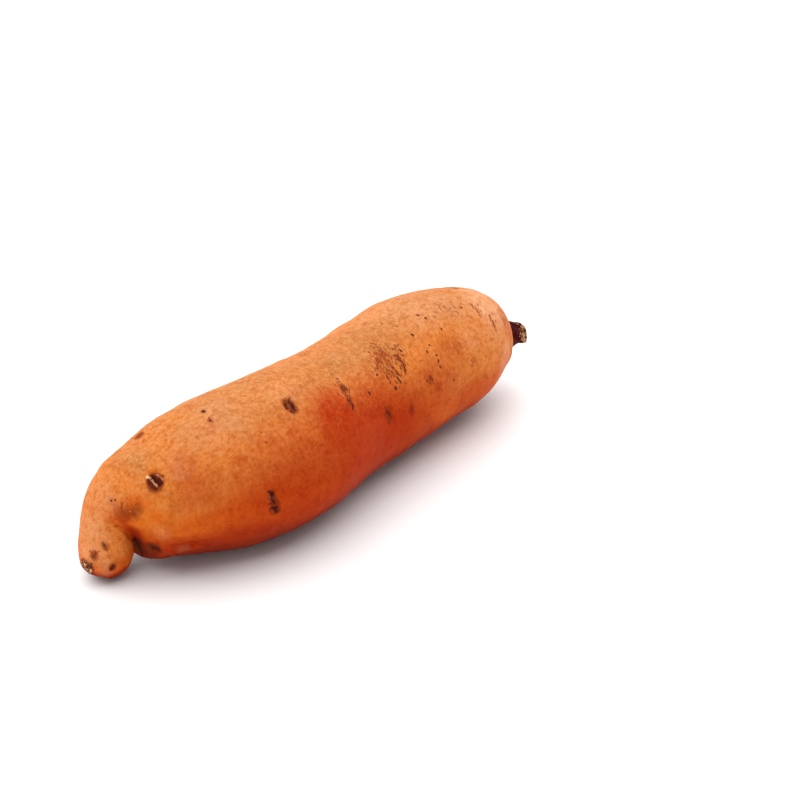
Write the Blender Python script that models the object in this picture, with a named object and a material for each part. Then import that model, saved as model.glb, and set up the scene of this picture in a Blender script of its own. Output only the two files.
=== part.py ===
"""A whole sweet potato lying on its side, as one grown piece.

The root is a loft of rounded sections along a bent line. It runs from the hooked root tip at -X, through
the fat belly, to the blunt crown at +X with its broken vine stub. Metres, +Z up. The origin is below
the middle of the root, on the surface that it lies on.
"""

import math

import bmesh
import bpy
from mathutils import Vector, noise
from mathutils.bvhtree import BVHTree

# Driving dimensions: the root's length from tip to stub, and its diameter at the thickest place.
LENGTH = 0.205
GIRTH = 0.0565
MM = 0.001

# Grid of the loft: rings from end to end, and points round each ring.
RINGS = 106
SIDES = 56

# The root is pressed to a small flat spot where it rests, this far above its natural lowest point.
FLAT_SPOT_DEPTH = 0.001

# Each section: place along X as a share of LENGTH; sideways place, height of the centre, half width and
# half height as shares of GIRTH; then the way the section faces, turned in plan and leaned up, in degrees.
SECTIONS = (
    (-0.490, 0.15, 0.05, 0.070, 0.060, 20, 55),
    (-0.485, 0.16, 0.08, 0.120, 0.110, 20, 55),
    (-0.473, 0.18, 0.13, 0.157, 0.152, 18, 52),
    (-0.459, 0.21, 0.215, 0.174, 0.174, 14, 48),
    (-0.448, 0.235, 0.31, 0.175, 0.182, 8, 40),
    (-0.434, 0.185, 0.355, 0.250, 0.288, -2, 14),
    (-0.415, 0.12, 0.407, 0.335, 0.333, -4, 6),
    (-0.390, 0.09, 0.431, 0.368, 0.354, -5, 3),
    (-0.345, 0.035, 0.461, 0.424, 0.414, -5, 2),
    (-0.265, -0.055, 0.485, 0.494, 0.486, -3, 0),
    (-0.130, -0.09, 0.485, 0.500, 0.490, 1, 0),
    (0.000, -0.02, 0.457, 0.460, 0.453, 3, 0),
    (0.120, 0.02, 0.465, 0.458, 0.460, 3, 0),
    (0.230, 0.04, 0.48, 0.455, 0.460, 0, 0),
    (0.320, 0.015, 0.475, 0.418, 0.425, -8, 0),
    (0.380, -0.005, 0.46, 0.364, 0.366, -14, -2),
    (0.425, -0.03, 0.44, 0.262, 0.272, -18, -4),
    (0.450, -0.06, 0.41, 0.180, 0.185, -24, -3),
    (0.461, -0.082, 0.408, 0.104, 0.104, -34, 3),
    (0.471, -0.122, 0.430, 0.072, 0.072, -46, 6),
    (0.480, -0.172, 0.427, 0.074, 0.074, -72, 25),
)

# Swellings of the skin: lumps per metre, and their height as a share of the radius there.
BROAD_LUMPS, BROAD_HEIGHT = 22.0, 0.022
SMALL_LUMPS, SMALL_HEIGHT = 62.0, 0.012
# Faint furrows that run round the root.
FURROWS, FURROW_HEIGHT = 150.0, 0.007

# Root scars and hollows: X, Y and Z of a place near the skin, then radius and depth, in millimetres.
SCARS = (
    (-85, -4, 40, 3.4, 1.3),
    (-92, 1, 29, 4.6, 1.0),
    (-55, -27, 31, 2.8, 0.9),
    (-54, -28, 24, 2.4, 0.8),
    (-36, -16, 52, 2.8, 0.8),
    (-11, -18, 47, 2.6, 0.6),
    (6, -22, 33, 2.8, 0.8),
    (-62, 22, 42, 2.8, 0.9),
    (-22, 26, 26, 3.2, 1.1),
    (24, 22, 40, 2.6, 0.8),
    (52, 24, 22, 3.0, 1.0),
    (74, 6, 46, 2.6, 0.7),
)
# A scar's raised lip: its height against the depth, and its place and width against the radius.
LIP_HEIGHT, LIP_PLACE, LIP_WIDTH = 0.28, 1.35, 0.45

# The vine stub was snapped off, so its end is uneven by this much and a little hollow.
STUB_TEAR = 0.0009
STUB_GRAIN = 620.0
STUB_HOLLOW = 0.0008

SKIN_COLOUR = (0.60, 0.21, 0.07, 1.0)
SKIN_ROUGHNESS = 0.55


def clear_scene():
    """Empties the scene of whatever it holds."""
    for item in list(bpy.data.objects):
        bpy.data.objects.remove(item, do_unlink=True)


def section_rows():
    """The sections in metres and radians: centre, half width, half height, turn and lean."""
    rows = []
    for along, side, height, half_width, half_height, turn, lean in SECTIONS:
        rows.append(
            (
                along * LENGTH,
                side * GIRTH,
                height * GIRTH,
                half_width * GIRTH,
                half_height * GIRTH,
                math.radians(turn),
                math.radians(lean),
            )
        )
    return rows


def step_between(first, second):
    """How far the skin runs from one section to the next, counting travel, swelling and turning."""
    travel = math.dist(first[:3], second[:3])
    swelling = max(abs(second[3] - first[3]), abs(second[4] - first[4]))
    turning = first[4] * math.hypot(second[5] - first[5], second[6] - first[6])
    return math.sqrt(travel**2 + swelling**2 + turning**2)


def blended(rows, knots, place):
    """The section at a place between the knots, on a smooth cubic through all of them."""
    after = next((i for i, knot in enumerate(knots) if knot >= place and i), len(knots) - 1)
    before = after - 1
    span = knots[after] - knots[before]
    share = (place - knots[before]) / span

    def slope(i, column):
        low, high = max(i - 1, 0), min(i + 1, len(rows) - 1)
        return (rows[high][column] - rows[low][column]) / (knots[high] - knots[low])

    values = []
    for column in range(len(rows[0])):
        start, end = rows[before][column], rows[after][column]
        values.append(
            (2 * share**3 - 3 * share**2 + 1) * start
            + (share**3 - 2 * share**2 + share) * span * slope(before, column)
            + (3 * share**2 - 2 * share**3) * end
            + (share**3 - share**2) * span * slope(after, column)
        )
    return values


def lumps(point):
    """Swellings and furrows of the skin, as a share of the radius at that place."""
    broad = noise.noise(point * BROAD_LUMPS + Vector((3.1, 7.7, 1.3)))
    small = noise.noise(point * SMALL_LUMPS + Vector((9.2, 0.4, 5.5)))
    across = Vector((point.x * FURROWS, point.y * BROAD_LUMPS, point.z * BROAD_LUMPS))
    return BROAD_HEIGHT * broad + SMALL_HEIGHT * small + FURROW_HEIGHT * noise.noise(across)


def ring_points(section):
    """The points round one section, starting at the +Y side and going over the top."""
    x, y, z, half_width, half_height, turn, lean = section
    centre = Vector((x, y, z))
    sideways = Vector((-math.sin(turn), math.cos(turn), 0.0))
    forward = Vector((math.cos(turn) * math.cos(lean), math.sin(turn) * math.cos(lean), math.sin(lean)))
    upward = forward.cross(sideways)
    points = []
    for side in range(SIDES):
        angle = 2 * math.pi * side / SIDES
        out = half_width * math.cos(angle) * sideways + half_height * math.sin(angle) * upward
        points.append(centre + out * (1 + lumps(centre + out)))
    return points


def middle_of(ring):
    """The middle of a ring of points."""
    return sum((vert.co for vert in ring), Vector()) / SIDES


def loft():
    """The closed skin through all the rings, with a middle point at each end and a torn stub."""
    rows = section_rows()
    knots = [0.0]
    for first, second in zip(rows, rows[1:]):
        knots.append(knots[-1] + step_between(first, second))
    shell = bmesh.new()
    rings = []
    for ring in range(RINGS):
        section = blended(rows, knots, knots[-1] * ring / (RINGS - 1))
        rings.append([shell.verts.new(point) for point in ring_points(section)])
    for ring, following in zip(rings, rings[1:]):
        for side in range(SIDES):
            beyond = (side + 1) % SIDES
            shell.faces.new((ring[side], following[side], following[beyond], ring[beyond]))
    way = (middle_of(rings[-1]) - middle_of(rings[-2])).normalized()
    for ring, hollow in ((rings[0], 0.0), (rings[-1], STUB_HOLLOW)):
        middle = shell.verts.new(middle_of(ring) - way * hollow)
        for side in range(SIDES):
            shell.faces.new((ring[side], ring[(side + 1) % SIDES], middle))
    for vert in rings[-1]:
        vert.co += way * STUB_TEAR * noise.noise(vert.co * STUB_GRAIN)
    bmesh.ops.recalc_face_normals(shell, faces=shell.faces)
    return shell


def press_scars(shell):
    """Sinks each root scar into the skin and raises its lip."""
    shell.normal_update()
    skin = BVHTree.FromBMesh(shell)
    raised = {}
    for x, y, z, radius, depth in SCARS:
        centre = skin.find_nearest(Vector((x, y, z)) * MM)[0]
        for vert in shell.verts:
            share = (vert.co - centre).length / (radius * MM)
            pit = math.exp(-(share**2))
            lip = LIP_HEIGHT * math.exp(-(((share - LIP_PLACE) / LIP_WIDTH) ** 2))
            raised[vert] = raised.get(vert, 0.0) + depth * MM * (lip - pit)
    for vert, height in raised.items():
        vert.co += vert.normal * height


def settle(shell):
    """Presses the flat spot and puts the origin under the middle, at the surface."""
    floor = min(vert.co.z for vert in shell.verts) + FLAT_SPOT_DEPTH
    for vert in shell.verts:
        vert.co.z = max(vert.co.z - floor, 0.0)
    middle = Vector((0.0, 0.0, 0.0))
    for axis in (0, 1):
        places = [vert.co[axis] for vert in shell.verts]
        middle[axis] = (min(places) + max(places)) / 2
    bmesh.ops.translate(shell, verts=shell.verts, vec=-middle)


def skin_material():
    """Matt orange-brown skin."""
    material = bpy.data.materials.new("skin")
    material.use_nodes = True
    shader = material.node_tree.nodes["Principled BSDF"]
    shader.inputs["Base Color"].default_value = SKIN_COLOUR
    shader.inputs["Roughness"].default_value = SKIN_ROUGHNESS
    return material


def build():
    """Makes the sweet potato in its own collection."""
    clear_scene()
    shell = loft()
    settle(shell)
    press_scars(shell)
    mesh = bpy.data.meshes.new("sweet_potato")
    shell.to_mesh(mesh)
    shell.free()
    mesh.shade_smooth()
    mesh.materials.append(skin_material())
    potato = bpy.data.objects.new("sweet_potato", mesh)
    collection = bpy.data.collections.new("sweet potato")
    bpy.context.scene.collection.children.link(collection)
    collection.objects.link(potato)


build()
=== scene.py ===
"""Dresses a whole sweet potato: its skin, root scars, corky flecks, torn vine stub and root tip.

The pieces are fitted to the root of the frame, and stand on a plain, pale stage.
"""

import math
import random

import bmesh
import bpy
import numpy as np
from bpy.props import (
    FloatProperty,
    FloatVectorProperty,
    IntProperty,
    PointerProperty,
)
from mathutils import Matrix, Vector, noise
from mathutils.bvhtree import BVHTree


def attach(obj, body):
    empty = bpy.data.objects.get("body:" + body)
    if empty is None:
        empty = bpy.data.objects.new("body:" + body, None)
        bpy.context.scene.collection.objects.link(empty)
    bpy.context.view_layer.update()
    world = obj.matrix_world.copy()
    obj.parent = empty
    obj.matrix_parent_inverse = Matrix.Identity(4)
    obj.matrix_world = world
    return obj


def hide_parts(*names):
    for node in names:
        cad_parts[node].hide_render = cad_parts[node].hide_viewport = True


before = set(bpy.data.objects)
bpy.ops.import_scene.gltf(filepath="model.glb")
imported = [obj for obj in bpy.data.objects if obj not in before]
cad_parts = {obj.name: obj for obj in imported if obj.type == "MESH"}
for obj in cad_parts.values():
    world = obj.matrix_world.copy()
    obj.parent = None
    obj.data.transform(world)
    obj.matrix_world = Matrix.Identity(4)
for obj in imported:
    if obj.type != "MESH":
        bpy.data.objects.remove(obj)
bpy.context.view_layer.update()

bl_info = {
    "name": "Sweet Potato",
    "version": (1, 0, 0),
    "blender": (4, 5, 0),
    "location": "View3D > Sidebar > Sweet Potato",
    "description": "Builds the skin, flecks, vine stub and root tip of a sweet potato",
    "category": "Object",
}

NODE = "sweet_potato"
BODY = "root"
MM = 0.001
# Corners of the root's solid that are closer than this, in metres, are one. Facets that meet at less than the
# angle are joined into quads.
WELD = 1e-6
JOIN_ANGLE = math.radians(60)
# Faces of the skin bigger than the first size, in square millimetres, are cut in four. The second size holds
# near the torn stub, and so many millimetres past the edge of a furrow or ridge.
COARSE_FACE = 0.8
FINE_FACE = 0.13
FINE_REACH = 1.6

# Marks on the skin: X, Y and Z of a place near the surface, then how far the mark reaches along the root and
# round it, in millimetres, and how strong it is. First the hollows of the root scars.
PITS = (
    (-83.4, -2.4, 38.4, 2.1, 2, 0.9),
    (-55, -27.2, 30.2, 1, 1.3, 0.5),
    (-54.4, -27.6, 25, 1.8, 1.8, 0.5),
    (-35, -15.6, 51.6, 1.8, 2.8, 0.35),
    (-103.6, 12.8, 6.6, 2, 2.4, 0.7),
    (-86.8, -2.8, 13.4, 1.2, 2, 0.5),
    (-62, 22, 42, 1.8, 2.6, 0.8),
    (-22, 27, 27, 2, 2.8, 0.9),
    (24, 22, 40, 1.6, 2.4, 0.6),
    (52, 25, 22, 1.8, 2.6, 0.8),
    (74, 8, 45, 1.4, 2, 0.5),
)
# Brown, corky places, and painted shade in the crease's hollow and beside the crease.
BROWN_AND_SHADE = (
    (-83.6, -2.4, 38.6, 2.6, 3, 0.95),
    (-84.6, -2.6, 37, 2.2, 2.8, 0.8),
    (-55.2, -27, 30, 2, 3.4, 0.6),
    (-54.6, -27.6, 25.6, 2.4, 3.2, 0.7),
    (-35, -15.6, 51.6, 2.3, 3.8, 0.85),
    (-9.4, -15.2, 47.8, 1.9, 2.4, 0.6),
    (-9.6, -17, 46.4, 1.8, 3.4, 0.35),
    (-10.8, -20.4, 44, 1.6, 2.4, 0.43),
    (6.8, -21.6, 33, 2.4, 3.8, 0.5),
    (18.7, -21.9, 29.5, 1.6, 2.2, 0.3),
    (17, -12, 45.6, 7.5, 7.5, 0.34),
    (-91, 3.9, 27.2, 3.6, 4.2, 0.38),
    (-89.4, 1.4, 28, 3, 3.2, 0.38),
    (-92.2, 5.6, 25.6, 2.2, 3.4, 0.3),
    (-88.6, -0.4, 29.8, 3, 2, 0.3),
    (-93.2, 6.6, 27, 1.8, 2.6, 0.25),
    (-92.3, 6.1, 22.3, 1.4, 2.6, 0.25),
    (-93.9, 8.8, 30.6, 1.6, 2.2, 0.4),
    (-84.5, 0.6, 8.4, 4, 4.6, 0.4),
    (-59, 0.7, 53, 1.3, 1.5, 0.6),
    (-60.4, -4.2, 52.2, 1.1, 1.7, 0.5),
    (-85.2, 7.4, 8.6, 3.2, 4.6, 1),
    (-86, 2.7, 11, 2.6, 4.4, 0.62),
    (-74.6, 16, 44.2, 2, 2.4, 0.75),
    (-71.2, -8.2, 45.5, 1.6, 2.2, 0.3),
    (-101.8, 10.4, 12.6, 2, 1.8, 0.62),
    (-101.6, 8.6, 10, 2.2, 2, 0.35),
    (-103.5, 12.8, 7, 2.6, 3.4, 1),
    (-98.5, 5.1, 8.1, 1.5, 1.8, 0.75),
    (-98.6, 7.8, 15.4, 1.5, 1.8, 0.53),
    (-86.4, -2.4, 13.4, 2, 3.2, 0.94),
    (69, -8, 45.8, 1.6, 3, 0.4),
    (73.8, -12, 40.6, 1.1, 3.2, 0.5),
    (72, 8.6, 48.2, 3.2, 0.9, 0.56),
    (83, -10.6, 35.2, 1.4, 2.6, 0.35),
    (60.6, -20.2, 25.7, 2.6, 1, 0.5),
    (30.3, -19.2, 36.7, 2.4, 1.6, 0.32),
    (33.9, -20.5, 32.5, 2.2, 2, 0.3),
    (18.1, -22, 29.2, 1.6, 2.6, 0.45),
    (-62, 22, 42, 3, 4.2, 0.75),
    (-22, 27, 27, 3.4, 4.6, 0.88),
    (24, 22, 40, 2.6, 3.8, 0.75),
    (52, 25, 22, 3, 4.2, 0.75),
    (74, 8, 45, 2.2, 3, 0.62),
    (-4, 12, 53, 3, 5, 0.28),
)
# Golden places, round the scars and along the top.
GOLD = (
    (-81, -1, 42, 4.4, 4.6, 0.6),
    (-83.4, -6, 36, 4.2, 4.2, 0.5),
    (-87, -5, 26, 6, 8, 0.5),
    (-99, 8, 20, 6, 6, 0.2),
    (-45, -8, 54, 10, 6, 0.25),
    (-20, -5, 54, 12, 6, 0.2),
    (22, -14, 41, 6, 3, 0.3),
    (30, 14, 48, 12, 8, 0.3),
    (-50, 20, 42, 12, 9, 0.3),
)
# Redder places: partly the skin's own redder patches, partly painted shade along the lower middle and lower
# side.
FLUSH_AND_SHADE = (
    (-30, -28, 30, 48, 22, 0.72),
    (-2, -28, 28, 34, 20, 0.9),
    (-72, -15, 37, 9, 9, 0.45),
    (-79, -11, 34, 7, 7, 0.4),
    (-76, -8, 42, 6, 6, 0.4),
    (-20, -24, 40, 16, 15, 0.85),
    (-83.6, -2.4, 38.6, 4.4, 5, 0.4),
    (28, -20.6, 32.8, 24, 12, 0.5),
    (53, -19, 21, 12, 9, 0.42),
    (31, -19.4, 35.8, 3, 3, 0.7),
    (34, -20.4, 32.4, 3, 3, 0.7),
    (45, -16, 41, 8, 6, 0.42),
    (-29, -14, 53, 5, 4, 0.25),
    (-60.8, -19.7, 43.1, 3, 3, 0.5),
    (84, -10, 34, 5, 8, 0.4),
    (-61, -5.4, 51.6, 1.6, 2.4, 0.4),
    (-84.2, -1.4, 33, 2.6, 2.6, 0.35),
    (4, 26, 30, 26, 9, 0.5),
    (68, 20, 30, 12, 9, 0.4),
)
# Pale, pinkish places: mostly a painted highlight where the skin catches the light, on the crown's top, the
# upper shoulders, the tip, a fold's crest and the vine stub's foot, and a few of the skin's own pale specks.
PALE_AND_LIT = (
    (-58, -0.8, 52.8, 1.6, 1.8, 0.3),
    (50, -1, 51.5, 16, 8, 0.3),
    (40, -5, 50.5, 5, 5, 0.25),
    (64, -6, 48, 9, 8, 0.3),
    (58, -15, 41, 6, 5, 0.25),
    (77, -6, 45, 10, 10, 0.85),
    (84, -9, 37, 5, 6, 0.2),
    (78, -15.5, 24, 6, 8, 0.45),
    (-60, -6, 52.5, 14, 9, 0.2),
    (-80, -10.5, 13.6, 4, 1.4, 0.14),
    (-101.5, 13, 12, 4, 5, 0.38),
    (72, -12, 38, 8, 8, 0.28),
    (-101, 9, 13, 3, 4, 0.28),
    (-98.5, 14, 20, 4, 7, 0.38),
    (-94.6, 13.5, 30.5, 3.6, 7, 0.28),
    (-100, 6.5, 9, 2.6, 4, 0.3),
    (93.6, -6.6, 21.6, 1, 1.6, 1),
    (-34, -9, 54, 9, 5, 0.15),
    (-78, -6, 44, 6, 5, 0.15),
    (-88, -7.5, 22, 5, 3, 0.16),
    (40, 10, 52, 20, 6, 0.25),
)
# Torn bits of cream-coloured skin.
CREAM = (
    (-84.9, 0.2, 39.6, 0.55, 0.5, 1),
    (-103.8, 13.6, 7.6, 0.5, 0.8, 0.9),
    (-103.4, 11.2, 6.2, 0.5, 0.8, 0.8),
    (-91.6, 2.8, 27.6, 0.4, 0.4, 0.6),
)
# Lines pressed into the skin: X, Y and Z of both ends, how far the line reaches to each side, in millimetres,
# and how deep and dark it is.
FURROWS = (
    (-83.6, -0.7, 39.5, -83, -3.6, 37.4, 0.94, 1),
    (-82.3, -2.4, 38.8, -82.2, -4.2, 37.8, 0.6, 0.8),
    (-85, -0.8, 38.2, -84.7, -3.3, 36.6, 1.29, 0.85),
    (-81.3, -3.2, 39.8, -81.2, -3.4, 39.7, 0.6, 0.7),
    (-55, -26.9, 31, -54.9, -27, 30.4, 1.27, 1),
    (-56, -26.6, 32, -55, -26.9, 30.7, 0.81, 0.8),
    (-55.6, -27.1, 29.3, -54.9, -27.8, 27.7, 0.81, 0.85),
    (-57.2, -27.2, 27.6, -56.4, -27.4, 27.9, 0.69, 0.7),
    (-55.8, -27.6, 26, -53.7, -27.9, 25.3, 0.81, 0.95),
    (-54.5, -27.7, 25.3, -53.5, -27.5, 23.3, 1.04, 0.95),
    (-52.8, -27.7, 23.8, -52.7, -27.7, 23.2, 0.81, 0.7),
    (-32.9, -13.4, 52.7, -34.4, -14.3, 52, 0.51, 0.8),
    (-33.8, -15.1, 51.8, -34.6, -17.4, 50.5, 0.77, 1),
    (-35.8, -13.9, 52, -36.7, -16, 51.1, 0.86, 0.75),
    (-36.2, -17.1, 50.5, -36, -17.8, 50.1, 0.6, 0.8),
    (-34.7, -17.4, 50.5, -35.5, -18.2, 49.8, 0.6, 0.8),
    (-33.9, -9.6, 53.9, -33.9, -11.8, 53.4, 0.43, 0.45),
    (-35.4, -12, 53.3, -35.2, -13, 52.7, 0.43, 0.35),
    (-38, -18.5, 49.9, -38, -18.9, 49.6, 0.51, 0.4),
    (-9.1, -14.5, 48.4, -8.1, -15, 47.8, 0.69, 0.6),
    (-10.2, -15.2, 48.2, -10, -16.2, 47.2, 0.69, 0.65),
    (-10, -16.1, 47.3, -8.5, -15.9, 47.3, 0.51, 0.6),
    (-11.4, -19.3, 45.3, -10.1, -19.9, 44.4, 0.69, 0.75),
    (-10.1, -20.7, 43.5, -11.1, -21.9, 42.6, 0.77, 0.9),
    (5.9, -21.1, 34, 7.5, -21.6, 32.5, 0.69, 0.7),
    (7.2, -21.6, 32.3, 7.6, -22.1, 31.2, 0.51, 0.6),
    (-103.5, 15.4, 6.9, -103.3, 15.4, 6.2, 0.83, 0.9),
    (-103.6, 13.6, 5.8, -103.4, 13, 5.2, 0.83, 0.9),
    (-103.2, 9.9, 8, -103.1, 9.6, 7.5, 0.83, 0.8),
    (-103.4, 10.7, 8.8, -103.4, 10.4, 8.5, 0.73, 0.8),
    (-103.4, 12.2, 8.6, -103.6, 12.4, 7.8, 0.73, 0.8),
    (-98.8, 8.6, 16.3, -98.8, 8, 15.7, 0.94, 0.75),
    (-98.8, 7.6, 15, -98.5, 7, 14.4, 0.83, 0.65),
    (-101.4, 9.5, 13.2, -100.5, 8.7, 13.9, 0.52, 0.4),
    (-102.6, 10.8, 11.6, -101.4, 9.5, 13.2, 0.62, 0.5),
    (-98.8, 5.3, 7.4, -98.2, 4.9, 8.8, 0.83, 0.8),
    (-86.8, -1.2, 13, -86.2, -3.6, 13, 1.66, 0.8),
    (-68.4, -20.5, 22.2, -67, -20.9, 21.8, 0.43, 0.35),
    (-103.9, 12.8, 8.3, -103.7, 12.2, 6.8, 0.94, 0.9),
    (-103.3, 10.4, 9.4, -103.4, 10.9, 6.9, 0.73, 0.7),
    (101.3, -6.2, 24.3, 102.1, -6, 23.1, 1.3, 1.5),
    (100.4, -7.7, 21.6, 101, -7.6, 20.6, 1.3, 1.5),
    (98.9, -6.1, 25.2, 99.4, -6, 24.2, 1.2, 1.21),
    (97.3, -7.4, 23.9, 97.4, -7.5, 23, 0.84, 0.88),
    (-62.6, 20.6, 43.4, -61.8, 22.4, 41.6, 0.94, 0.9),
    (-61.2, 22.4, 42.4, -60.8, 23.4, 40.6, 0.69, 0.8),
    (-22.8, 26.4, 29, -22.2, 27.4, 26, 1.03, 1),
    (-21.2, 27, 27.6, -21, 27, 25, 0.69, 0.8),
    (-23.8, 26.6, 26.4, -23.6, 26.8, 24.8, 0.6, 0.7),
    (23.6, 21, 41.4, 24.2, 22.6, 39.2, 0.86, 0.85),
    (25, 21.4, 40.6, 25.2, 22.4, 39, 0.6, 0.7),
    (51.6, 24.6, 24, 52, 25.4, 21, 0.94, 0.9),
    (53, 25, 23, 53.2, 25, 21, 0.6, 0.7),
    (73.6, 7.2, 45.6, 74, 9.2, 44.2, 0.69, 0.75),
)
# Pale ridges beside the furrows, in the same way.
RIDGES = (
    (-84.3, -0.4, 39.2, -83.8, -2.9, 37.1, 0.6, 1),
    (-82.2, -1.4, 40, -81.6, -4.1, 38.6, 0.6, 0.6),
    (-56.2, -26.7, 31.5, -56.1, -27.2, 28.9, 0.6, 0.38),
    (-55.6, -27.3, 24.8, -55.2, -27.2, 24, 0.8, 0.4),
    (-53.7, -27.5, 30.5, -54.6, -27.3, 29.1, 0.6, 0.36),
    (-34.9, -15.2, 51.5, -36.4, -17, 50.5, 0.5, 0.5),
    (-35.1, -13.6, 52.3, -35.5, -14, 52, 0.7, 0.4),
    (-83, -6.1, 36.3, -82.2, -8, 34, 0.7, 0.5),
    (-22, 26.6, 28.6, -21.6, 27.2, 26, 0.7, 0.7),
    (24.6, 21.2, 41.2, 24.8, 22.6, 39, 0.6, 0.6),
    (-61.9, 21, 43.4, -61.2, 22.8, 41.4, 0.6, 0.6),
    (97.1, -2.6, 27.8, 97.9, -5, 27.4, 0.7, 0.6),
)
# Folds in the skin, in the same way, with their depth in millimetres: a negative one rises.
FOLDS = (
    (-83.4, -9.2, 15.9, -81.1, -10.5, 15.7, 1.5, 0.55),
    (-81.1, -10.5, 15.7, -77.4, -12.8, 16.2, 1.5, 0.5),
    (-83.4, -7.4, 12.8, -80.2, -9.5, 13.2, 1.5, -1),
    (-80.2, -9.5, 13.2, -76.5, -12.7, 14, 1.5, -1),
    (-76.5, -12.7, 14, -73.2, -13.9, 12.8, 1.4, -0.4),
    (-79.4, -13.6, 22.3, -75.9, -16.1, 22.1, 2.6, -0.25),
    (-75.9, -16.1, 22.1, -70.6, -18.9, 20.4, 2.6, -0.25),
    (-83.6, -5.6, 36.3, -82.9, -8.3, 34.2, 0.9, 0.2),
    (-93.4, 20.5, 30, -86, 20.5, 37, 5, -0.25),
    (-84.2, -7.6, 34, -84.6, -9.2, 29, 1.4, 0.22),
    (-82.4, -8.6, 34, -82.6, -10.2, 29.6, 1.4, -0.2),
    (-96, 10, 27, -98, 7.6, 22, 2, -0.2),
    (-98.6, 13, 22, -99.8, 10.6, 17, 1.8, 0.18),
    (-99, 6, 14, -98.6, 4.6, 10.4, 1.8, -0.25),
)
# The crease between the hooked tip and the body, in the same way. It is also painted dark, as shade in the
# crease.
CREASE = (
    (-93.6, 7.3, 22.4, -92.3, 6.4, 20.5, 1, 0.3),
    (-92.3, 6.4, 20.5, -90.3, 6.2, 17.3, 1.2, 0.5),
    (-90.3, 6.2, 17.3, -89, 6.4, 15, 1.3, 0.5),
    (-89, 6.4, 15, -86.4, 8.4, 11, 1.4, 0.5),
    (-86.4, 8.4, 11, -84.6, 10.6, 5, 1.4, 0.5),
)

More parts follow.
